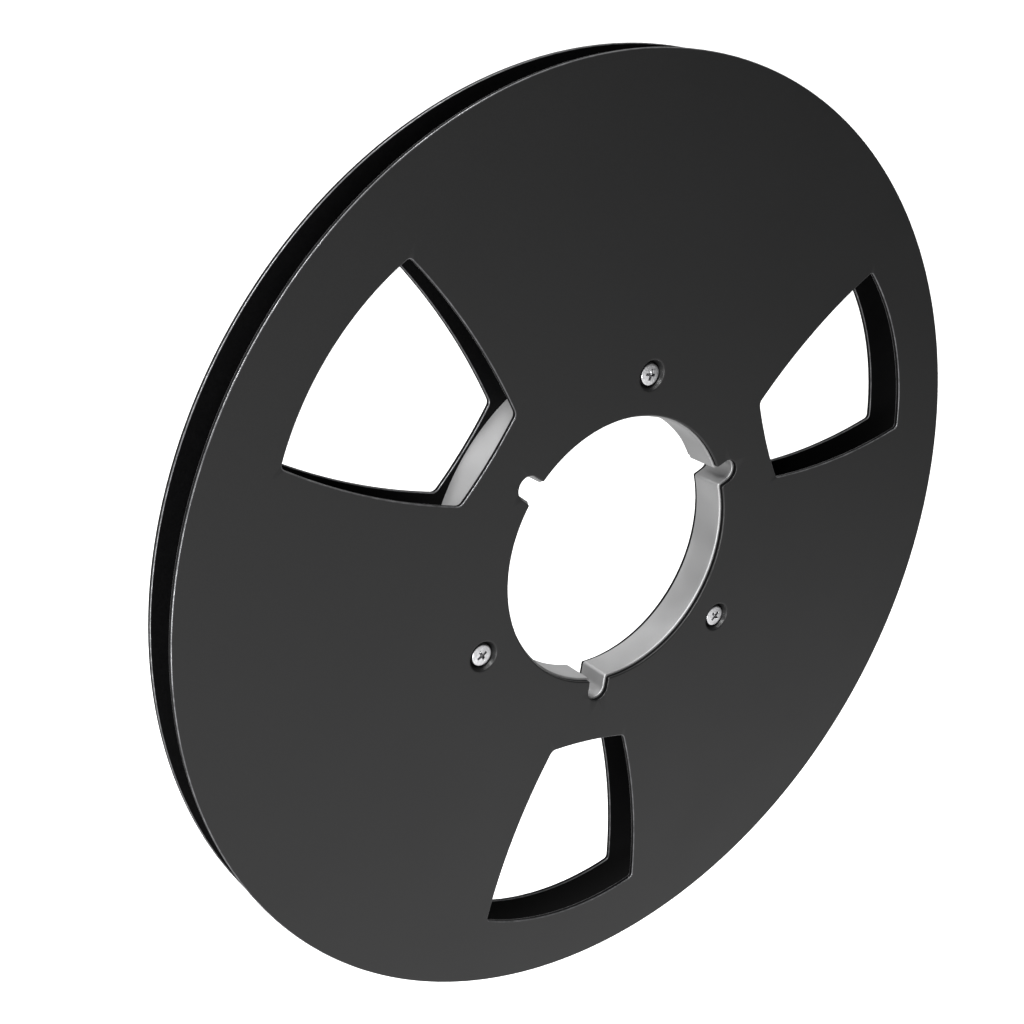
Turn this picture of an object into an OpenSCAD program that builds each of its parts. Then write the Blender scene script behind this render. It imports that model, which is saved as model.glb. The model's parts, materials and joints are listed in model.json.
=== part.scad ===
// Open-reel tape spool: two flat flanges with three windows each, screwed to
// a ring hub that has the three-key bore of a studio reel hub adaptor.

/* [Reel] */
// Outer diameter of the flanges, 10.5 inches
reel_d = 266.7; // [240:0.1:300]
// Thickness of each flange
flange_t = 1.3; // [1.1:0.1:1.6]
// Width of the tape space between the flanges
tape_gap = 9.9; // [9.8:0.1:14]
// Turn of the whole pattern from the horizontal, seen from the front
pattern_turn = 20; // [0:1:119]
// Bevel on the edges of the flanges
edge_bevel = 0.25; // [0.1:0.05:0.4]

/* [Hub] */
// Outer diameter of the hub that the tape is wound on, 4.5 inches
hub_d = 114.3; // [112:0.1:114.6]
// Bore of the hub, a running fit on a 3 inch adaptor
hub_bore_d = 76.6; // [76.2:0.1:77]
// Bevel on the edges of the hub
hub_bevel = 0.5; // [0.45:0.05:0.6]
// Width of the key slots in the hub
key_w = 5.8; // [5.5:0.1:6]
// Bevel on the edges of the key slots
key_bevel = 0.35; // [0.2:0.05:0.4]
// Distance from the axis to the bottom of the hub's key slots
key_r = 44.7; // [43:0.1:44.8]

/* [Flange bore] */
// Bore of the flanges
flange_bore_d = 77.8; // [77.4:0.1:78.2]
// Bevel on the bore of the flanges
bore_bevel = 0.45; // [0.45:0.05:0.6]
// Width of the key slots in the flanges
flange_key_w = 7; // [6.6:0.1:7.4]
// Distance from the axis to the bottom of the flanges' key slots
flange_key_r = 45.3; // [45:0.1:45.6]

/* [Windows] */
// Distance from the axis to the middle of a window's inner edge
window_inner_r = 58; // [57.4:0.1:60]
// Distance from the axis to the middle of a window's outer edge
window_outer_r = 115.2; // [105:0.1:118]
// Radius of the bow of the inner edge
inner_bow_r = 125; // [100:5:200]
// Radius of the bow of the outer edge
outer_bow_r = 81; // [75:1:100]
// Radius of the bow of the sides
side_bow_r = 169; // [165:1:175]
// Distance from the axis to the centre of a side's bow
side_centre_r = 190.9; // [188:0.1:193]
// Angle from a window's middle to the centre of a side's bow
side_centre_angle = 47.1; // [46:0.1:48]
// Radius of a window's inner corners
inner_corner_r = 2; // [1:0.1:3]
// Radius of a window's outer corners
outer_corner_r = 1.3; // [1:0.1:3]

/* [Screws] */
// Radius of the circle that the screws lie on
screw_circle_r = 50.1; // [49.5:0.1:50.5]
// Diameter of the screw heads
head_d = 6.1; // [5.5:0.1:6.2]
// Thickness of the screw heads
head_t = 1.6; // [1.4:0.1:1.8]
// Depth of the top of a screw head below the flange's face
head_sink = 0.6; // [0.4:0.1:0.8]
// Radius of the low dome on the screw heads
head_dome_r = 20; // [10:1:30]
// Diameter of the screw threads
thread_d = 3; // [2.5:0.1:3]
// Length of a screw under its head
thread_l = 3.8; // [3:0.1:3.9]
// Reach of the cross recess from the middle of a head
cross_reach_r = 1.9; // [1.5:0.1:2.1]
// Reach of the cross recess at its bottom
cross_tip_r = 0.5; // [0.3:0.1:0.8]
// Width of the arms of the cross recess
cross_w = 0.9; // [0.7:0.1:1]
// Depth of the cross recess
cross_depth = 0.8; // [0.7:0.1:1]

/* [Dimples under the screw heads] */
// Mouth diameter of the dimples
dimple_d = 8.6; // [8.4:0.1:9]
// Floor diameter of the dimples
dimple_floor_d = 6.7; // [6.5:0.1:6.8]
// Thickness of the sheet under a head
dimple_sheet = 0.9; // [0.7:0.05:1]
// Thickness of the sheet round the floor of a dimple
dimple_wall = 0.6; // [0.4:0.05:0.7]
// Flare of the back of a dimple where it leaves the flat sheet
dimple_flare = 0.3; // [0.2:0.05:0.4]
// Gap between a screw's thread and the hole in the sheet
hole_gap = 0.2; // [0.1:0.05:0.3]
// Gap between a dimple and its pocket in the hub
pocket_gap = 0.1; // [0.05:0.05:0.2]
// Gap between a screw's thread and the tapped hole in the hub
thread_gap = 0.03; // [0.02:0.01:0.05]

/* [Hidden] */
$fn = 128;

// Amount that a cut runs past the surface it opens
over = 0.5;
// Length of the wedges that take the sharp corners off a window
wedge_l = 8;
// Lap of a corner's round over the bows that it joins
round_lap = 0.02;

// The pattern is drawn along +Y, then turned to its three places
repeats = 3;
step = 360 / repeats;
drawn_at = 90;
screw_turn = step / 2;

reel_r = reel_d / 2;
flange_bore_r = flange_bore_d / 2;
hub_bore_r = hub_bore_d / 2;
inner_face_z = tape_gap / 2;
face_z = inner_face_z + flange_t;

// The sheet is pressed into a dimple under each screw head
seat_z = face_z - head_sink - head_t;
dimple_base_z = seat_z - dimple_sheet;
dimple_mouth_r = dimple_d / 2;
dimple_floor_r = dimple_floor_d / 2;
dimple_foot_r = dimple_floor_r + dimple_wall;
dimple_neck_r = dimple_mouth_r + dimple_flare;
head_r = head_d / 2;

flange_black = [0.13, 0.13, 0.14];
hub_silver = [0.72, 0.73, 0.74];
screw_steel = [0.82, 0.82, 0.84];

// Centres of a window's bows, with the middle of the window along +Y
outer_c = [0, window_outer_r - outer_bow_r];
inner_c = [0, window_inner_r + inner_bow_r];
side_c = side_centre_r * [sin(side_centre_angle), cos(side_centre_angle)];

// Point where two circles meet, on the right of the line from a to b
function circles_meet(a, ra, b, rb) =
    let (d = norm(b - a), u = (b - a) / d)
    let (s = (ra * ra - rb * rb + d * d) / (2 * d), h = sqrt(ra * ra - s * s))
    a + s * u + h * [u.y, -u.x];

// Cone of a bow, standing on z = 0 and widening by grow over its height
module bow(c, r, h, grow) {
    translate([c.x, c.y, 0])
        cylinder(h = h, r1 = r, r2 = r + grow);
}

// Sharp tip that a rounded corner between two bows leaves out
module corner_tip(a, ra, b, rb, r, h) {
    f = circles_meet(a, ra - r, b, rb - r);
    toward_a = (f - a) / norm(f - a);
    toward_b = (f - b) / norm(f - b);
    middle = (toward_a + toward_b) / norm(toward_a + toward_b);
    translate([f.x, f.y, -over])
        linear_extrude(h + 2 * over)
            polygon([[0, 0], wedge_l * toward_a, 2 * wedge_l * middle, wedge_l * toward_b]);
}

// Round that fills such a corner
module corner_round(a, ra, b, rb, r, h, grow) {
    bow(circles_meet(a, ra - r, b, rb - r), r + round_lap, h, grow);
}

// Window with four bowed edges and rounded corners
module window(h, grow) {
    difference() {
        intersection() {
            bow(outer_c, outer_bow_r, h, grow);
            bow(inner_c, inner_bow_r, h, grow);
            bow(side_c, side_bow_r, h, grow);
            bow([-side_c.x, side_c.y], side_bow_r, h, grow);
        }
        for (flip = [0, 1])
            mirror([flip, 0, 0]) {
                corner_tip(side_c, side_bow_r, outer_c, outer_bow_r, outer_corner_r, h);
                corner_tip(inner_c, inner_bow_r, side_c, side_bow_r, inner_corner_r, h);
            }
    }
    for (flip = [0, 1])
        mirror([flip, 0, 0]) {
            corner_round(side_c, side_bow_r, outer_c, outer_bow_r, outer_corner_r, h, grow);
            corner_round(inner_c, inner_bow_r, side_c, side_bow_r, inner_corner_r, h, grow);
        }
}

// Key slot along +Y with a round end, open towards the axis
module key_slot(w, end_r, h, grow) {
    translate([0, end_r - w / 2, 0]) {
        cylinder(h = h, r1 = w / 2, r2 = w / 2 + grow);
        rotate([90, 0, 0])
            linear_extrude(end_r - w / 2)
                polygon([[-w / 2, 0], [w / 2, 0], [w / 2 + grow, h], [-w / 2 - grow, h]]);
    }
}

// Turns its children to place k of the pattern
module at_place(k, extra_turn) {
    rotate([0, 0, pattern_turn - drawn_at + extra_turn + k * step])
        children();
}

// Repeats its children at the three places of the pattern
module thrice(extra_turn = 0) {
    for (k = [0 : repeats - 1])
        at_place(k, extra_turn)
            children();
}

// Plain disc of the flange, from its inner face up to its outer face
module flange_disc() {
    b = edge_bevel;
    translate([0, 0, inner_face_z])
        rotate_extrude()
            polygon([[flange_bore_r, 0], [reel_r - b, 0], [reel_r, b], [reel_r, flange_t - b],
                     [reel_r - b, flange_t], [flange_bore_r + bore_bevel, flange_t],
                     [flange_bore_r, flange_t - bore_bevel]]);
}

// Front flange, with its outer face towards +Z
module flange() {
    difference() {
        union() {
            flange_disc();
            thrice(screw_turn)
                translate([0, screw_circle_r, dimple_base_z])
                    cylinder(h = inner_face_z + over - dimple_base_z,
                             r1 = dimple_foot_r, r2 = dimple_neck_r);
        }
        thrice() {
            translate([0, 0, inner_face_z - over])
                window(flange_t + 2 * over, 0);
            translate([0, 0, face_z - edge_bevel])
                window(edge_bevel + over, edge_bevel + over);
            translate([0, 0, inner_face_z + edge_bevel])
                mirror([0, 0, 1])
                    window(edge_bevel + over, edge_bevel + over);
            translate([0, 0, inner_face_z - over])
                key_slot(flange_key_w, flange_key_r, flange_t + 2 * over, 0);
            translate([0, 0, face_z - edge_bevel])
                key_slot(flange_key_w, flange_key_r, edge_bevel + over, edge_bevel + over);
        }
        thrice(screw_turn)
            translate([0, screw_circle_r, 0]) {
                translate([0, 0, seat_z])
                    cylinder(h = face_z - seat_z, r1 = dimple_floor_r, r2 = dimple_mouth_r);
                translate([0, 0, face_z - over])
                    cylinder(h = 2 * over, r = dimple_mouth_r);
                translate([0, 0, dimple_base_z - over])
                    cylinder(h = dimple_sheet + 2 * over, r = thread_d / 2 + hole_gap);
            }
    }
}

// Stands a reel that lies on its back upright, with its front towards -Y
module upright() {
    rotate([90, 0, 0])
        children();
}

module front_flange() {
    color(flange_black)
        upright()
            flange();
}

module rear_flange() {
    color(flange_black)
        upright()
            mirror([0, 0, 1])
                flange();
}

// Ring between the flanges, with pockets for their dimples and tapped holes
module hub() {
    b = hub_bevel;
    z = inner_face_z;
    pocket_foot_r = dimple_foot_r + pocket_gap;
    pocket_mouth_r = dimple_neck_r + pocket_gap;
    color(hub_silver)
        upright()
            difference() {
                rotate_extrude()
                    polygon([[hub_bore_r + b, -z], [hub_d / 2, -z], [hub_d / 2, z],
                             [hub_bore_r + b, z], [hub_bore_r, z - b], [hub_bore_r, b - z]]);
                thrice() {
                    translate([0, 0, -z - over])
                        key_slot(key_w, key_r, tape_gap + 2 * over, 0);
                    for (flip = [0, 1])
                        mirror([0, 0, flip])
                            translate([0, 0, z - key_bevel])
                                key_slot(key_w, key_r, key_bevel + over, key_bevel + over);
                }
                thrice(screw_turn)
                    translate([0, screw_circle_r, 0]) {
                        cylinder(h = tape_gap, r = thread_d / 2 + thread_gap, center = true);
                        for (flip = [0, 1])
                            mirror([0, 0, flip]) {
                                translate([0, 0, dimple_base_z - pocket_gap])
                                    cylinder(h = z - dimple_base_z + pocket_gap,
                                             r1 = pocket_foot_r, r2 = pocket_mouth_r);
                                translate([0, 0, z])
                                    cylinder(h = over, r = pocket_mouth_r);
                            }
                    }
            }
}

// Screw with a low domed head and a cross recess, standing in a front dimple
module screw() {
    top_z = seat_z + head_t;
    difference() {
        union() {
            intersection() {
                translate([0, 0, seat_z])
                    cylinder(h = head_t, r = head_r);
                translate([0, 0, top_z - head_dome_r])
                    sphere(r = head_dome_r);
            }
            translate([0, 0, seat_z - thread_l])
                cylinder(h = thread_l + over, d = thread_d);
        }
        intersection() {
            translate([0, 0, top_z - cross_depth])
                cylinder(h = cross_depth, r1 = cross_tip_r, r2 = cross_reach_r);
            translate([0, 0, top_z])
                for (turn = [0, 90])
                    rotate([0, 0, turn])
                        cube([2 * head_r, cross_w, 2 * cross_depth], center = true);
        }
    }
}

// Screw at place k of the pattern, at the front (side 0) or the rear (side 1)
module placed_screw(side, k) {
    color(screw_steel)
        upright()
            mirror([0, 0, side])
                at_place(k, screw_turn)
                    translate([0, screw_circle_r, 0])
                        screw();
}

front_flange();
rear_flange();
hub();
placed_screw(0, 0);  // front_screw_1
placed_screw(0, 1);  // front_screw_2
placed_screw(0, 2);  // front_screw_3
placed_screw(1, 0);  // rear_screw_1
placed_screw(1, 1);  // rear_screw_2
placed_screw(1, 2);  // rear_screw_3
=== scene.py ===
"""Looks of the tape reel: finer flanges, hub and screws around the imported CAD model.

The reel stands upright, its axis along Y and its front face towards -Y. Outlines are drawn in its plane
as complex numbers, x + i z, in millimetres. Heights are measured from the middle of the reel towards a face.
"""
import cmath
import json
import math

import bmesh
import bpy
import numpy as np
from mathutils import Matrix, Vector
from mathutils.geometry import delaunay_2d_cdt


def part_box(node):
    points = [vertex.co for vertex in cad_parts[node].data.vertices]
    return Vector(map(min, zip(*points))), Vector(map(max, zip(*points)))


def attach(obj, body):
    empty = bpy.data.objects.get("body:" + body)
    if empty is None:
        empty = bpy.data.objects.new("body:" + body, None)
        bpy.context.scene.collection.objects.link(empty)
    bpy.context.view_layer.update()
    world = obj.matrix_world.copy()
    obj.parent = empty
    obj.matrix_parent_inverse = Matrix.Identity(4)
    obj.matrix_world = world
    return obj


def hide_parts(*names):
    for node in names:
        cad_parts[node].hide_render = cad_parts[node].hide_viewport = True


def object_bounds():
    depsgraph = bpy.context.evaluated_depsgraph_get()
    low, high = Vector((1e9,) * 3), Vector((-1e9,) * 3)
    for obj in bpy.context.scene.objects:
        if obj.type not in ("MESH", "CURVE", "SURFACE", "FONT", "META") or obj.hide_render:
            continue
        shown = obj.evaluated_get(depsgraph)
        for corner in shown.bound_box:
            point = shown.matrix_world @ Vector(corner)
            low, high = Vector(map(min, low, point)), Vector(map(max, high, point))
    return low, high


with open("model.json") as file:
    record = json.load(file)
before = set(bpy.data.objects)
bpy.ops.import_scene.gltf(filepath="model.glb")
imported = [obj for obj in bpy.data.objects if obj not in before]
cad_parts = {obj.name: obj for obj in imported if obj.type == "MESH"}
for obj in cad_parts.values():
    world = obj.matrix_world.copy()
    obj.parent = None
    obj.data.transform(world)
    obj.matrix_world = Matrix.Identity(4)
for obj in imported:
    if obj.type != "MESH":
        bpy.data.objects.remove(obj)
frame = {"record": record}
cad_low, cad_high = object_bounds()

MM = 0.001

# Sizes that the frame gives
REEL_R = (cad_high.x - cad_low.x) / 2 / MM
FACE_H = cad_high.y / MM
INNER_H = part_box("hub")[1].y / MM
HUB_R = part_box("hub")[1].x / MM
MOUNTS = {mount["name"]: mount for mount in frame["record"]["mounts"]}
HUB_BORE_R = MOUNTS["hub_bore"]["dims"]["r_mm"]
PLACES = 3


def screw_place(node):
    """Middle of a screw in the reel's plane."""
    low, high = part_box(node)
    middle = (low + high) / 2 / MM
    return complex(middle.x, middle.z)


SCREW_PLACES = [screw_place(f"front_screw_{k + 1}") for k in range(PLACES)]
SCREW_TURN = cmath.rect(1, math.pi / PLACES)
WINDOW_WAYS = [place / abs(place) / SCREW_TURN for place in SCREW_PLACES]

# Edges
EDGE_BEVEL = 0.25
BORE_BEVEL = 0.45
HUB_BEVEL = 0.5
KEY_BEVEL = 0.35
DRUM_BEVEL = 0.1
# The flange bore's bevel on the inner face, as a share of the one on the outer face
BORE_BACK_SHARE = 0.2
BEVEL_STEPS = 4

# Windows
WINDOW_INNER_R = 58
WINDOW_OUTER_R = 115.2
INNER_BOW_R = 125
OUTER_BOW_R = 81
SIDE_BOW_R = 169
SIDE_CENTRE_R = 190.9
SIDE_CENTRE_ANGLE = 47.1
INNER_CORNER_R = 2
OUTER_CORNER_R = 1.3

# Bores and their key slots
FLANGE_BORE_R = 38.9
FLANGE_KEY_W = 7
FLANGE_KEY_R = 45.3
FLANGE_MOUTH_R = 0.6
HUB_KEY_W = 5.8
HUB_KEY_R = 44.7
HUB_MOUTH_R = 0.9

# Screws and the dimples that they stand in
HEAD_R = 3.05
HEAD_T = 1.6
HEAD_SINK = 0.6
HEAD_DOME_R = 20
THREAD_R = 1.5
THREAD_L = 3.8
THREAD_PITCH = 0.5
THREAD_DEPTH = 0.27
CROSS_REACH = 1.9
CROSS_W = 0.8
CROSS_DEPTH = 0.8
SEAT_H = FACE_H - HEAD_SINK - HEAD_T
DIMPLE_SHEET = 0.9
DIMPLE_BASE_H = SEAT_H - DIMPLE_SHEET
DIMPLE_MOUTH_R = 4.3
DIMPLE_FLOOR_R = 3.35
DIMPLE_FOOT_R = 3.95
DIMPLE_NECK_R = 4.6
SHEET_HOLE_R = 1.7
TAPPED_HOLE_R = 1.53
POCKET_GAP = 0.1
# Flat rings of sheet kept round the dimple's mouth and its neck, and how far its corners are rounded
MOUTH_LAND = 0.6
NECK_LAND = 0.5
DIMPLE_SOFTENING = 0.3

# Finer shapes of the screws
DOME_FIRST_R = 0.3
DOME_RINGS = 10
HEAD_ROUNDING = 0.12
# Rounding of the head's edge, as how far in from its side and how far down from its rim
RIM_ROUND = [(0.03, 0.06), (0, 0.18)]
# Rounding of its lower edge, as how far in from its side and how far up from its seat
SEAT_ROUND = [(0, 0.12), (0.1, 0)]
NECK_FILLET = 0.12
SHANK_PLAIN = 0.4
TIP_PLAIN = 0.2
THREAD_RINGS_PER_TURN = 8
# Where the thread starts under the head, and how far before the tip it stops
THREAD_START = 0.5
THREAD_STOP = 0.25
TIP_CHAMFER = 0.3
TIP_R = 0.4
# How much the cutter of the recess stands above the head and is longer and wider than the recess there
CUTTER_RISE = 0.3
CUTTER_EXTRA_REACH = 0.15
CUTTER_EXTRA_W = 0.1
# Length and width of the recess at its bottom, as shares of those at its top
CROSS_FOOT_REACH = 0.35
CROSS_FOOT_W = 0.7
# How far each screw is turned about its own axis, in radians
SCREW_ANGLES = {"front": [-0.08, 0.12, -0.15], "rear": [0.9, 0.2, 1.4]}

# Fineness of the meshes
CHORD = 1.1
FINE_CHORD = 0.16
ROUND_COUNT = 64
FILL_SPACING = 6
FILL_MARGIN = 3.2
SHARP_ANGLE = math.radians(50)
FLAT_FACE_WEIGHT = 100
FILL_TOLERANCE = 1e-7

# Material slots within a flange: the faces, the bevels with their painted highlights, and the walls and
# inner faces with their painted shade
FACE, BEVEL, SHADED_WALL = range(3)


# ---------------------------------------------------------------- outlines
class Outline:
    """A closed line: its points, the way into the metal at each, and the width of its bevel there."""

    def __init__(self):
        self.points, self.ways, self.bevels = [], [], []

    def add(self, point, way, bevel):
        self.points.append(point)
        self.ways.append(way)
        self.bevels.append(bevel)

    def arc(self, centre, radius, start, end, side, bevels, chord):
        """An arc less its last point. side is 1 with metal outside the arc and -1 with metal inside it."""
        sweep = cmath.phase(end / start)
        count = max(4, round(abs(sweep) * radius / chord))
        for k in range(count):
            share = k / count
            way = start / abs(start) * cmath.rect(1, sweep * share)
            self.add(centre + radius * way, side * way, bevels[0] + (bevels[1] - bevels[0]) * share)

    def line(self, start, end, way, bevel, chord):
        """A straight stretch less its last point."""
        count = max(2, round(abs(end - start) / chord))
        for k in range(count):
            self.add(start + (end - start) * k / count, way, bevel)

    def turned(self, way):
        """Turns what is drawn so far from the +Z axis to way."""
        self.points = [point * way / 1j for point in self.points]
        self.ways = [each * way / 1j for each in self.ways]
        return self


def circle(centre, radius, side, bevel, count):
    outline = Outline()
    for k in range(count):
        way = cmath.rect(1, 2 * math.pi * k / count)
        outline.add(centre + radius * way, side * way, bevel)
    return outline


def circles_meet(a, a_radius, b, b_radius):
    """The point where two circles meet, on the left of the line from a to b."""
    apart = abs(b - a)
    along = (a_radius ** 2 - b_radius ** 2 + apart ** 2) / (2 * apart)
    return a + (b - a) / apart * complex(along, math.sqrt(a_radius ** 2 - along ** 2))


def window(way):
    """A window with four bowed edges and rounded corners."""
    side = cmath.rect(SIDE_CENTRE_R, math.radians(90 - SIDE_CENTRE_ANGLE))
    bows = [
        (1j * (WINDOW_OUTER_R - OUTER_BOW_R), OUTER_BOW_R, OUTER_CORNER_R),
        (side, SIDE_BOW_R, INNER_CORNER_R),
        (1j * (WINDOW_INNER_R + INNER_BOW_R), INNER_BOW_R, INNER_CORNER_R),
        (-side.conjugate(), SIDE_BOW_R, OUTER_CORNER_R),
    ]
    following = bows[1:] + bows[:1]
    corners = [
        circles_meet(centre, radius - corner_r, after[0], after[1] - corner_r)
        for (centre, radius, corner_r), after in zip(bows, following)
    ]
    bevels = (EDGE_BEVEL, EDGE_BEVEL)
    outline = Outline()
    for k, (centre, radius, corner_r) in enumerate(bows):
        corner = corners[k]
        outline.arc(centre, radius, corners[k - 1] - centre, corner - centre, 1, bevels, CHORD)
        next_centre = following[k][0]
        outline.arc(corner, corner_r, corner - centre, corner - next_centre, 1, bevels, FINE_CHORD)
    return outline.turned(way)


def keyed_bore(bore_r, key_w, key_r, mouth_r, bore_bevel, key_bevel):
    """A bore with three round-ended key slots, whose mouths have rounded corners."""
    half = key_w / 2
    mouth_h = math.sqrt((bore_r + mouth_r) ** 2 - (half + mouth_r) ** 2)
    right = complex(half + mouth_r, mouth_h)
    left = complex(-half - mouth_r, mouth_h)
    end = 1j * (key_r - half)
    third = cmath.rect(1, 2 * math.pi / PLACES)
    whole = Outline()
    for way in WINDOW_WAYS:
        outline = Outline()
        outline.arc(right, mouth_r, -right, -1, -1, (bore_bevel, key_bevel), FINE_CHORD)
        outline.line(complex(half, mouth_h), end + half, 1, key_bevel, CHORD)
        outline.arc(end, half, 1, 1j, 1, (key_bevel, key_bevel), FINE_CHORD)
        outline.arc(end, half, 1j, -1, 1, (key_bevel, key_bevel), FINE_CHORD)
        outline.line(end - half, complex(-half, mouth_h), -1, key_bevel, CHORD)
        outline.arc(left, mouth_r, 1, -left, -1, (key_bevel, bore_bevel), FINE_CHORD)
        outline.arc(0, bore_r, left, right * third, 1, (bore_bevel, bore_bevel), CHORD)
        outline.turned(way)
        whole.points += outline.points
        whole.ways += outline.ways
        whole.bevels += outline.bevels
    return whole


# ---------------------------------------------------------------- bands: the surfaces that join two faces
class Band:
    """Rings of points, and a slot for each strip between two of them.

    The first ring is on the outer face and the last on the inner face.
    """

    def __init__(self, rings, slots):
        self.rings, self.slots = rings, slots


def ring(places, heights):
    """Points in the row frame from places in the reel's plane and heights towards the front."""
    places = np.asarray(places, complex)
    heights = np.broadcast_to(np.asarray(heights, float), places.shape)
    return np.stack([places.real, -heights, places.imag], axis=1)


def edge_band(outline, top, bottom, back_share=1.0, slots=(BEVEL, SHADED_WALL)):
    """An edge with rounded bevels. back_share is the inner bevel's size as a share of the outer one's."""
    points, ways, bevels = (np.array(each) for each in (outline.points, outline.ways, outline.bevels))
    angles = [math.pi / 2 * k / BEVEL_STEPS for k in range(BEVEL_STEPS + 1)]
    rings = []
    for angle in angles:
        drop = bevels * (1 - math.cos(angle))
        rings.append(ring(points + ways * bevels * (1 - math.sin(angle)), top - drop))
    for angle in reversed(angles):
        drop = back_share * bevels * (1 - math.cos(angle))
        rings.append(ring(points + ways * back_share * bevels * (1 - math.sin(angle)), bottom + drop))
    bevel, wall = slots
    return Band(rings, [bevel] * BEVEL_STEPS + [wall] + [bevel] * BEVEL_STEPS)


def soften(profile, reach, steps=3):
    """A profile of (radius, height) points with its corners rounded within reach."""
    points = [Vector(point) for point in profile]
    soft = [points[0]]
    for before, corner, after in zip(points, points[1:], points[2:]):
        start = corner + (before - corner) * min(reach / (before - corner).length, 0.5)
        end = corner + (after - corner) * min(reach / (after - corner).length, 0.5)
        for k in range(steps + 1):
            t = k / steps
            soft.append(start * (1 - t) ** 2 + corner * 2 * t * (1 - t) + end * t ** 2)
    return [tuple(point) for point in soft + [points[-1]]]


def round_band(centre, profile, slot):
    """A round band about centre, from a profile of (radius, height) points."""
    ways = np.exp(2j * math.pi * np.arange(ROUND_COUNT) / ROUND_COUNT)
    rings = [ring(centre + ways * radius, height) for radius, height in profile]
    return Band(rings, [slot] * (len(rings) - 1))


# ---------------------------------------------------------------- meshes
def inside(points, loop):
    """Which points lie inside a closed line."""
    around = loop[None, :] - points[:, None]
    turns = np.angle(np.roll(around, -1, axis=1) / around).sum(axis=1)
    return abs(turns) > math.pi


def fill(loops, outer_r):
    """Triangles between the first loop and the others.

    Gives the points added, and the triangles, which count the loops' points first and then those.
    """
    edge_points = np.concatenate(loops)
    spread = []
    for radius in np.arange(HUB_BORE_R, outer_r, FILL_SPACING):
        count = round(2 * math.pi * radius / FILL_SPACING)
        spread.append(radius * np.exp(2j * math.pi * np.arange(count) / count))
    spread = np.concatenate(spread)
    clear = abs(spread[:, None] - edge_points[None, :]).min(axis=1) > FILL_MARGIN
    for k, loop in enumerate(loops):
        clear &= inside(spread, loop) == (k == 0)
    spread = spread[clear]
    points = np.concatenate([edge_points, spread])
    edges, base = [], 0
    for loop in loops:
        edges += [(base + k, base + (k + 1) % len(loop)) for k in range(len(loop))]
        base += len(loop)
    flat = [Vector((point.real, point.imag)) for point in points]
    _, _, triangles, sources, _, _ = delaunay_2d_cdt(flat, edges, [], 0, FILL_TOLERANCE, True)
    triangles = np.array([[sources[k][0] for k in triangle] for triangle in triangles])
    middles = points[triangles].mean(axis=1)
    kept = inside(middles, loops[0])
    for loop in loops[1:]:
        kept &= ~inside(middles, loop)
    return spread, triangles[kept]


def finish_mesh(mesh, materials):
    """Faces outwards, smooth where it is round, and with the materials given."""
    work = bmesh.new()
    work.from_mesh(mesh)
    bmesh.ops.recalc_face_normals(work, faces=work.faces)
    work.to_mesh(mesh)
    work.free()
    mesh.shade_smooth()
    mesh.set_sharp_from_angle(angle=SHARP_ANGLE)
    for material in materials:
        mesh.materials.append(material)


def weigh_normals(piece):
    """Keeps the flat faces flat next to their bevels."""
    weights = piece.modifiers.new("weighted_normals", "WEIGHTED_NORMAL")
    weights.keep_sharp = True
    weights.weight = FLAT_FACE_WEIGHT


def plate(name, bands, outer_r, flip, materials, inner_slot=FACE):
    """A flat piece: two faces joined by bands, the first of which goes round the outside."""
    points, faces, slots, firsts, lasts, base = [], [], [], [], [], 0
    for band in bands:
        count = len(band.rings[0])
        steps = np.arange(count)
        following = (steps + 1) % count
        for k, slot in enumerate(band.slots):
            near, far = base + k * count, base + (k + 1) * count
            quads = np.stack([near + steps, near + following, far + following, far + steps], axis=1)
            faces += quads.tolist()
            slots += [slot] * count
        firsts.append(base + steps)
        lasts.append(base + (len(band.rings) - 1) * count + steps)
        points += band.rings
        base += count * len(band.rings)
    ring_points = np.concatenate(points)
    added = []
    for picks, fill_slot in ((firsts, FACE), (lasts, inner_slot)):
        loops = [ring_points[pick, 0] + 1j * ring_points[pick, 2] for pick in picks]
        spread, triangles = fill(loops, outer_r)
        ids = np.concatenate(picks + [base + np.arange(len(spread))])
        faces += ids[triangles].tolist()
        slots += [fill_slot] * len(triangles)
        added.append(ring(spread, -ring_points[picks[0][0], 1]))
        base += len(spread)
    all_points = np.concatenate([ring_points] + added) * MM
    if flip:
        all_points[:, 1] *= -1
    mesh = bpy.data.meshes.new(name)
    mesh.from_pydata(all_points.tolist(), [], faces)
    mesh.polygons.foreach_set("material_index", slots)
    finish_mesh(mesh, materials)
    piece = bpy.data.objects.new(name, mesh)
    bpy.context.scene.collection.objects.link(piece)
    weigh_normals(piece)
    return piece


def place_piece(piece, node):
    """The piece stands for a CAD node, which it hides, and rides on the reel."""
    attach(piece, "root")
    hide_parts(node)
    return piece


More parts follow.
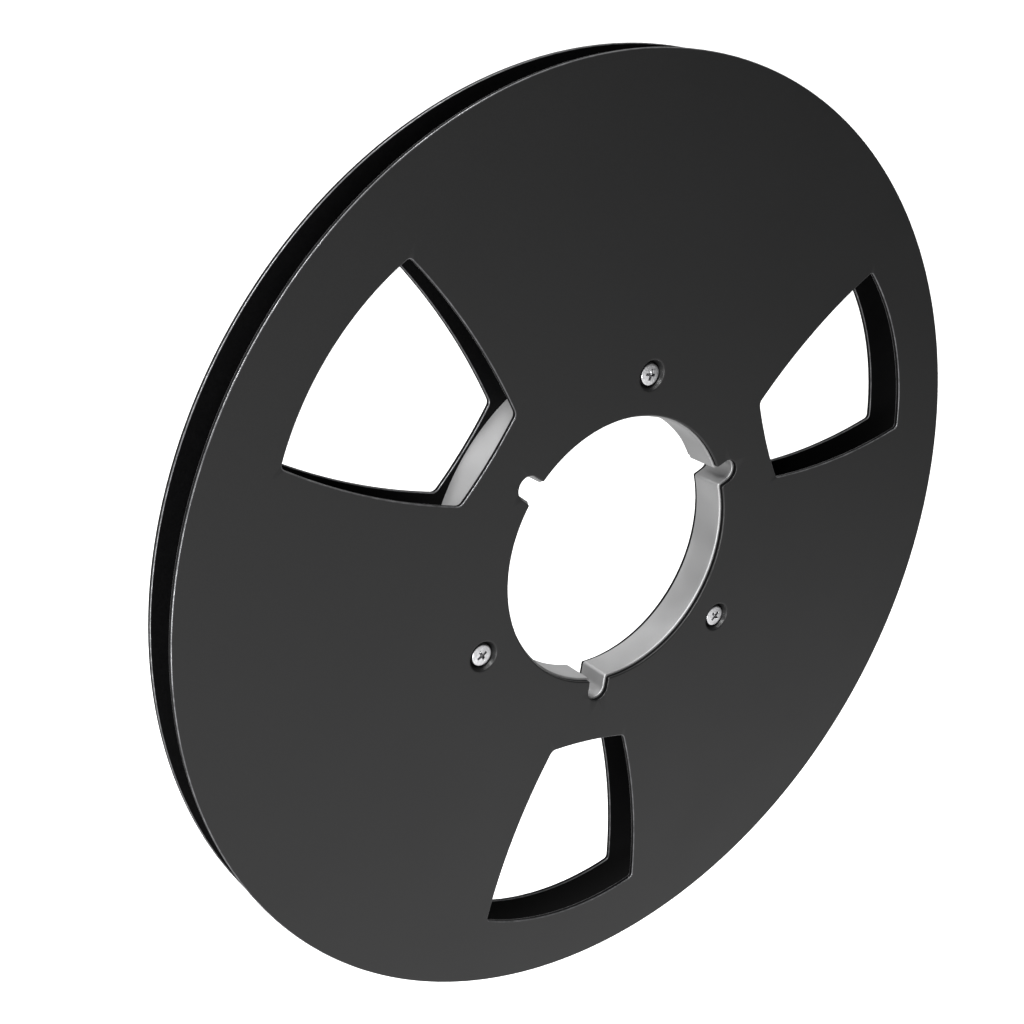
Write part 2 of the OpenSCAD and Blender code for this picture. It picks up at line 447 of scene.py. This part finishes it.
# ---------------------------------------------------------------- materials
class Finish:
    """A procedural material, built up node by node."""

    def __init__(self, name):
        self.material = bpy.data.materials.new(name)
        self.material.use_nodes = True
        self.nodes = self.material.node_tree.nodes
        self.links = self.material.node_tree.links
        self.shader = self.nodes["Principled BSDF"]
        self.place = self.nodes.new("ShaderNodeTexCoord").outputs["Object"]

    def put(self, socket, value):
        """Sets a socket to a number, or links it to another socket."""
        if isinstance(value, bpy.types.NodeSocket):
            self.links.new(value, socket)
        else:
            socket.default_value = value

    def node(self, kind, settings=None, **inputs):
        made = self.nodes.new(kind)
        for name, value in (settings or {}).items():
            setattr(made, name, value)
        for name, value in inputs.items():
            self.put(made.inputs[name.replace("_", " ")], value)
        return made

    def noise(self, size_mm, detail=3.0, roughness=0.6, place=None):
        """Noise whose features are about size_mm across."""
        made = self.node(
            "ShaderNodeTexNoise", Vector=place or self.place, Scale=1 / (size_mm * MM),
            Detail=detail, Roughness=roughness,
        )
        return made.outputs["Fac"]

    def ramp(self, value, low, high, start=0.3, end=0.7):
        """Carries value, from start to end, over to the range from low to high."""
        made = self.node("ShaderNodeMapRange", Value=value)
        for name, number in (("From Min", start), ("From Max", end), ("To Min", low), ("To Max", high)):
            made.inputs[name].default_value = number
        return made.outputs["Result"]

    def tint(self, value, low, high, start=0.3, end=0.7):
        """A colour between low and high by value."""
        made = self.node("ShaderNodeValToRGB", Fac=value)
        first, last = made.color_ramp.elements
        first.position, first.color = start, (*low, 1)
        last.position, last.color = end, (*high, 1)
        return made.outputs["Color"]

    def bump(self, height, depth_mm, strength=1.0, normal=None):
        made = self.node("ShaderNodeBump", Height=height, Distance=depth_mm * MM, Strength=strength)
        if normal is not None:
            self.put(made.inputs["Normal"], normal)
        return made.outputs["Normal"]

    def surface(self, **inputs):
        for name, value in inputs.items():
            self.put(self.shader.inputs[name.replace("_", " ")], value)
        return self.material


def black_anodising():
    """Satin black: a fine etched grain with faint clouds in its sheen."""
    finish = Finish("flange_black")
    clouds = finish.noise(38, 2.0)
    grain = finish.noise(0.35, 4.0, 0.7)
    etch = finish.noise(0.12, 2.0)
    colour = finish.tint(grain, (0.004, 0.004, 0.0041), (0.008, 0.008, 0.0082))
    rough = finish.node("ShaderNodeMath", {"operation": "ADD"})
    finish.put(rough.inputs[0], finish.ramp(clouds, 0.40, 0.45))
    finish.put(rough.inputs[1], finish.ramp(grain, -0.03, 0.04))
    normal = finish.bump(etch, 0.006, 0.5, finish.bump(grain, 0.012, 0.6))
    return finish.surface(
        Base_Color=colour, Roughness=rough.outputs[0], Normal=normal, Specular_IOR_Level=0.35,
    )


def painted_edge_highlight():
    """The bevels: a lighter, more metallic copy of the black, which paints highlights along every edge,
    patchy in tone.
    """
    finish = Finish("flange_edge_highlight")
    edge_sheen_patches = finish.noise(2.6, 4.0)
    grain = finish.noise(0.3, 3.0)
    # Painted highlight: the bevels are made far lighter than the black faces.
    colour = finish.tint(edge_sheen_patches, (0.045, 0.045, 0.047), (0.15, 0.15, 0.155))
    rough = finish.ramp(edge_sheen_patches, 0.42, 0.28)
    normal = finish.bump(grain, 0.006, 0.5)
    return finish.surface(Base_Color=colour, Roughness=rough, Normal=normal, Metallic=0.7)


def painted_shade_wall():
    """The walls of the sheet under its bevels, and the flanges' inner faces: a darker, duller copy of the
    black, which paints shade.
    """
    finish = Finish("flange_wall_shade")
    grain = finish.noise(0.4, 3.0)
    # Painted shade: far darker than the black faces, with almost no sheen.
    colour = finish.tint(grain, (0.001, 0.001, 0.0011), (0.0025, 0.0025, 0.0027))
    rough = finish.ramp(grain, 0.5, 0.62)
    normal = finish.bump(grain, 0.01, 0.5)
    return finish.surface(Base_Color=colour, Roughness=rough, Normal=normal, Specular_IOR_Level=0.05)


def silver_anodising():
    """Satin silver: a blasted grain, with soft clouds and faint turning lines under it."""
    finish = Finish("hub_silver")
    clouds = finish.noise(22, 2.0)
    grain = finish.noise(0.3, 3.0, 0.7)
    turning = finish.node("ShaderNodeMapping", Vector=finish.place, Scale=(60, 3200, 60))
    lines = finish.noise(1000, 2.0, 0.6, turning.outputs["Vector"])
    colour = finish.tint(clouds, (0.30, 0.30, 0.302), (0.37, 0.37, 0.372))
    rough = finish.node("ShaderNodeMath", {"operation": "ADD"})
    finish.put(rough.inputs[0], finish.ramp(clouds, 0.55, 0.62))
    finish.put(rough.inputs[1], finish.ramp(grain, -0.03, 0.04))
    normal = finish.bump(lines, 0.003, 0.35, finish.bump(grain, 0.008, 0.5))
    return finish.surface(Base_Color=colour, Roughness=rough.outputs[0], Normal=normal, Metallic=1.0)


def turned_steel():
    """Bright screw steel with fine rings from the lathe and small stains."""
    finish = Finish("screw_steel")
    rings = finish.node(
        "ShaderNodeTexWave", {"wave_type": "RINGS", "rings_direction": "Z"},
        Vector=finish.place, Scale=2600.0, Distortion=0.4,
    )
    stain = finish.noise(0.9, 4.0)
    dents = finish.noise(0.55, 3.0)
    colour = finish.tint(stain, (0.55, 0.55, 0.56), (0.82, 0.82, 0.84))
    rough = finish.ramp(stain, 0.38, 0.24)
    normal = finish.bump(rings.outputs["Fac"], 0.004, 0.4, finish.bump(dents, 0.09, 0.8))
    return finish.surface(Base_Color=colour, Roughness=rough, Normal=normal, Metallic=1.0)


# ---------------------------------------------------------------- pieces
def build_flange(name, node, flip, materials):
    dimple = soften(
        [
            (DIMPLE_MOUTH_R + MOUTH_LAND, FACE_H), (DIMPLE_MOUTH_R, FACE_H), (DIMPLE_FLOOR_R, SEAT_H),
            (SHEET_HOLE_R, SEAT_H), (SHEET_HOLE_R, DIMPLE_BASE_H), (DIMPLE_FOOT_R, DIMPLE_BASE_H),
            (DIMPLE_NECK_R, INNER_H), (DIMPLE_NECK_R + NECK_LAND, INNER_H),
        ],
        DIMPLE_SOFTENING,
    )
    bore = keyed_bore(FLANGE_BORE_R, FLANGE_KEY_W, FLANGE_KEY_R, FLANGE_MOUTH_R, BORE_BEVEL, EDGE_BEVEL)
    rim = circle(0, REEL_R, -1, EDGE_BEVEL, round(2 * math.pi * REEL_R / CHORD))
    bands = [
        edge_band(rim, FACE_H, INNER_H),
        edge_band(bore, FACE_H, INNER_H, BORE_BACK_SHARE, (FACE, SHADED_WALL)),
    ]
    bands += [edge_band(window(way), FACE_H, INNER_H) for way in WINDOW_WAYS]
    bands += [round_band(place, dimple, FACE) for place in SCREW_PLACES]
    # The inner faces take the darker wall finish, painted shade between the flanges.
    return place_piece(plate(name, bands, REEL_R, flip, materials, SHADED_WALL), node)


def build_hub(material):
    pocket_h = DIMPLE_BASE_H - POCKET_GAP
    half = [
        (DIMPLE_NECK_R + POCKET_GAP, INNER_H), (DIMPLE_FOOT_R + POCKET_GAP, pocket_h),
        (TAPPED_HOLE_R, pocket_h),
    ]
    pocket = half + [(radius, -height) for radius, height in reversed(half)]
    bore = keyed_bore(HUB_BORE_R, HUB_KEY_W, HUB_KEY_R, HUB_MOUTH_R, HUB_BEVEL, KEY_BEVEL)
    drum = circle(0, HUB_R, -1, DRUM_BEVEL, round(2 * math.pi * HUB_R / CHORD))
    slots = (FACE, FACE)
    bands = [edge_band(edge, INNER_H, -INNER_H, slots=slots) for edge in (drum, bore)]
    bands += [round_band(place, pocket, FACE) for place in SCREW_PLACES]
    return place_piece(plate("ring_hub", bands, HUB_R, False, [material]), "hub")


def thread_radius(angles, height):
    """Radius of the thread at a height under the head, less near its two ends."""
    end = THREAD_L - THREAD_STOP
    run_in = min(max((-height - THREAD_START) / THREAD_PITCH, 0), 1)
    run_in *= min(max((end + height) / THREAD_PITCH, 0), 1)
    phase = (height / THREAD_PITCH - angles / (2 * math.pi)) % 1
    return THREAD_R - THREAD_DEPTH * run_in * (1 - abs(2 * phase - 1))


def screw_rings():
    """Rings of a screw from the top of its head to its tip, in its own frame, with its head towards +Z."""
    angles = 2 * math.pi * np.arange(ROUND_COUNT) / ROUND_COUNT
    profile = [
        (radius, HEAD_T - HEAD_DOME_R + math.sqrt(HEAD_DOME_R ** 2 - radius ** 2))
        for radius in np.linspace(DOME_FIRST_R, HEAD_R - HEAD_ROUNDING, DOME_RINGS)
    ]
    rim_h = profile[-1][1]
    profile += [(HEAD_R - inwards, rim_h - down) for inwards, down in RIM_ROUND]
    profile += [(HEAD_R - inwards, up) for inwards, up in SEAT_ROUND]
    profile += [(THREAD_R + NECK_FILLET, 0), (THREAD_R, -NECK_FILLET)]
    full_turn = np.ones(ROUND_COUNT)
    rings = [(radius * full_turn, height) for radius, height in profile]
    for height in np.arange(-SHANK_PLAIN, -THREAD_L + TIP_PLAIN, -THREAD_PITCH / THREAD_RINGS_PER_TURN):
        rings.append((thread_radius(angles, height), height))
    for radius in (THREAD_R - TIP_CHAMFER, TIP_R):
        rings.append((radius * full_turn, -THREAD_L))
    return [
        np.stack([radii * np.cos(angles), radii * np.sin(angles), np.full(ROUND_COUNT, height)], axis=1)
        for radii, height in rings
    ]


def screw_mesh():
    """A closed screw, with its cross recess still to be cut."""
    rings = screw_rings()
    points = np.concatenate(rings + [[(0, 0, HEAD_T)], [(0, 0, -THREAD_L)]]) * MM
    steps = np.arange(ROUND_COUNT)
    following = (steps + 1) % ROUND_COUNT
    faces = []
    for k in range(len(rings) - 1):
        near, far = k * ROUND_COUNT, (k + 1) * ROUND_COUNT
        faces += np.stack([near + steps, near + following, far + following, far + steps], axis=1).tolist()
    top, tip = len(points) - 2, len(points) - 1
    last = (len(rings) - 1) * ROUND_COUNT
    faces += [[top, a, b] for a, b in zip(steps.tolist(), following.tolist())]
    faces += [[tip, last + b, last + a] for a, b in zip(steps.tolist(), following.tolist())]
    mesh = bpy.data.meshes.new("screw")
    mesh.from_pydata(points.tolist(), [], faces)
    return mesh


def cross_cutter():
    """Two crossed blades that taper towards the bottom of the recess."""
    work = bmesh.new()
    for turn in (0, math.pi / 2):
        corners = []
        for height, reach, width in (
            (HEAD_T + CUTTER_RISE, CROSS_REACH + CUTTER_EXTRA_REACH, CROSS_W + CUTTER_EXTRA_W),
            (HEAD_T - CROSS_DEPTH, CROSS_FOOT_REACH * CROSS_REACH, CROSS_W * CROSS_FOOT_W),
        ):
            for x, y in ((-1, -1), (1, -1), (1, 1), (-1, 1)):
                spot = complex(x * reach, y * width / 2) * cmath.rect(1, turn)
                corners.append(work.verts.new((spot.real * MM, spot.imag * MM, height * MM)))
        for face in ((0, 1, 2, 3), (7, 6, 5, 4), (0, 4, 5, 1), (1, 5, 6, 2), (2, 6, 7, 3), (3, 7, 4, 0)):
            work.faces.new([corners[k] for k in face])
    bmesh.ops.recalc_face_normals(work, faces=work.faces)
    mesh = bpy.data.meshes.new("cutter")
    work.to_mesh(mesh)
    work.free()
    return bpy.data.objects.new("cutter", mesh)


def cut_screw():
    """The screw's mesh with its cross recess."""
    blank = bpy.data.objects.new("blank", screw_mesh())
    cutter = cross_cutter()
    for each in (blank, cutter):
        bpy.context.scene.collection.objects.link(each)
    cut = blank.modifiers.new("cross", "BOOLEAN")
    cut.object = cutter
    cut.operation = "DIFFERENCE"
    cut.solver = "EXACT"
    cut.use_self = True
    graph = bpy.context.evaluated_depsgraph_get()
    mesh = bpy.data.meshes.new_from_object(blank.evaluated_get(graph))
    for each in (blank, cutter):
        bpy.data.objects.remove(each)
    return mesh


def build_screws(material):
    """Six screws, each turned to its own angle, as they were driven home."""
    master = cut_screw()
    for side, out in (("front", -1), ("rear", 1)):
        for k, place in enumerate(SCREW_PLACES):
            name = f"{side}_screw_{k + 1}"
            mesh = master.copy()
            finish_mesh(mesh, [material])
            piece = bpy.data.objects.new(f"flange_{name}", mesh)
            bpy.context.scene.collection.objects.link(piece)
            axis = Vector((0, out, 0))
            outward = Vector((place.real, 0, place.imag)).normalized()
            turn = Matrix.Rotation(SCREW_ANGLES[side][k], 4, axis)
            frame_of = Matrix((outward.cross(axis), outward, axis)).transposed().to_4x4()
            spot = Vector((place.real, out * SEAT_H, place.imag)) * MM
            piece.matrix_world = Matrix.Translation(spot) @ turn @ frame_of
            weigh_normals(piece)
            place_piece(piece, name)


# ---------------------------------------------------------------- stage, lights and camera
FLOOR_DROP = 0.25
FLOOR_SIZE = 80
# Each soft side of the studio: its direction, where it starts and is full as a cosine, and its strength
SOFT_SIDES = [
    ((-0.35, -0.45, -0.82), 0.06, 0.66, 1.2),
    ((0.3, 1, 0.25), 0.0, 0.8, 0.9),
]
# What each soft side still gives in the directions that it doesn't cover
SOFT_SIDE_REST = 0.03
OVERHEAD_STRENGTH = 3.6
OVERHEAD_SPREAD = 25
# The lamps: name, place, the point that it aims at, size and power
LAMPS = [
    ("key", (-0.8, -0.7, -0.25), (-0.1, 0, -0.03), 0.5, 14),
    ("fill", (-0.8, -0.35, 1.0), (0, 0, 0), 0.3, 22),
    ("strip", (-0.9, 0, 0.55), (0, 0, 0), 0.1, 9),
]


def pale_floor():
    """A plain pale floor well below the reel, which no surface mirrors and which throws no light back."""
    low = cad_low.z - FLOOR_DROP
    half = FLOOR_SIZE / 2
    mesh = bpy.data.meshes.new("floor")
    corners = [(-half, -half, low), (half, -half, low), (half, half, low), (-half, half, low)]
    mesh.from_pydata(corners, [], [(0, 1, 2, 3)])
    finish = Finish("floor_pale")
    cloud = finish.noise(400, 2.0)
    mesh.materials.append(finish.surface(
        Base_Color=finish.tint(cloud, (0.88, 0.88, 0.88), (0.90, 0.90, 0.90)), Roughness=0.9,
        Specular_IOR_Level=0.1,
    ))
    floor = bpy.data.objects.new("floor", mesh)
    bpy.context.scene.collection.objects.link(floor)
    floor.visible_glossy = False
    floor.visible_diffuse = False


def soft_light(name, place, aim, size, power):
    light = bpy.data.lights.new(name, "AREA")
    light.shape = "DISK"
    light.size = size
    light.energy = power
    lamp = bpy.data.objects.new(name, light)
    lamp.location = place
    lamp.rotation_euler = (Vector(aim) - Vector(place)).to_track_quat("-Z", "Y").to_euler()
    bpy.context.scene.collection.objects.link(lamp)


def studio_light():
    world = bpy.data.worlds.new("studio")
    world.use_nodes = True
    nodes = world.node_tree.nodes
    links = world.node_tree.links
    way = nodes.new("ShaderNodeTexCoord").outputs["Generated"]
    total = nodes.new("ShaderNodeMath")
    total.operation = "ADD"
    for k, (side, start, end, strength) in enumerate(SOFT_SIDES):
        facing = nodes.new("ShaderNodeVectorMath")
        facing.operation = "DOT_PRODUCT"
        facing.inputs[1].default_value = Vector(side).normalized()
        links.new(way, facing.inputs[0])
        fade = nodes.new("ShaderNodeMapRange")
        fade.interpolation_type = "SMOOTHSTEP"
        limits = {"From Min": start, "From Max": end, "To Min": SOFT_SIDE_REST, "To Max": strength}
        for name, number in limits.items():
            fade.inputs[name].default_value = number
        links.new(facing.outputs["Value"], fade.inputs["Value"])
        links.new(fade.outputs["Result"], total.inputs[k])
    links.new(total.outputs["Value"], nodes["Background"].inputs["Strength"])
    nodes["Background"].inputs["Color"].default_value = (1, 1, 1, 1)
    bpy.context.scene.world = world
    bpy.context.scene.view_settings.view_transform = "Standard"
    sky = bpy.data.lights.new("overhead", "SUN")
    sky.energy = OVERHEAD_STRENGTH
    sky.angle = math.radians(OVERHEAD_SPREAD)
    bpy.context.scene.collection.objects.link(bpy.data.objects.new("overhead", sky))
    for lamp in LAMPS:
        soft_light(*lamp)


# The camera's angles in degrees, its lens in millimetres, and metres from the middle of the front face
CAMERA_AZIMUTH = -36.71
CAMERA_ELEVATION = 23.71
CAMERA_LENS = 52.06
CAMERA_CLIP = 0.01
CAMERA_DISTANCE = 0.40822
REEL_RIGHT_OF_AIM = 0.03028
REEL_BELOW_AIM = 0.01102


def studio_camera():
    azimuth, elevation = math.radians(CAMERA_AZIMUTH), math.radians(CAMERA_ELEVATION)
    level = math.cos(elevation)
    back = Vector((math.sin(azimuth) * level, -math.cos(azimuth) * level, math.sin(elevation)))
    right = Vector((math.cos(azimuth), math.sin(azimuth), 0))
    up = back.cross(right)
    face_middle = Vector((0, cad_low.y, 0))
    camera = bpy.data.objects.new("camera", bpy.data.cameras.new("camera"))
    camera.data.lens = CAMERA_LENS
    camera.data.clip_start = CAMERA_CLIP
    spot = face_middle - right * REEL_RIGHT_OF_AIM + up * REEL_BELOW_AIM + back * CAMERA_DISTANCE
    camera.matrix_world = Matrix.Translation(spot) @ Matrix((right, up, back)).transposed().to_4x4()
    bpy.context.scene.collection.objects.link(camera)
    bpy.context.scene.camera = camera


# Finishes of the flanges: the black, a lighter copy with painted highlights for the bevels, and a darker
# copy with painted shade for the walls and inner faces.
flange_finishes = [black_anodising(), painted_edge_highlight(), painted_shade_wall()]
build_flange("front_flange_sheet", "front_flange", False, flange_finishes)
build_flange("rear_flange_sheet", "rear_flange", True, flange_finishes)
build_hub(silver_anodising())
build_screws(turned_steel())
pale_floor()
studio_light()
studio_camera()
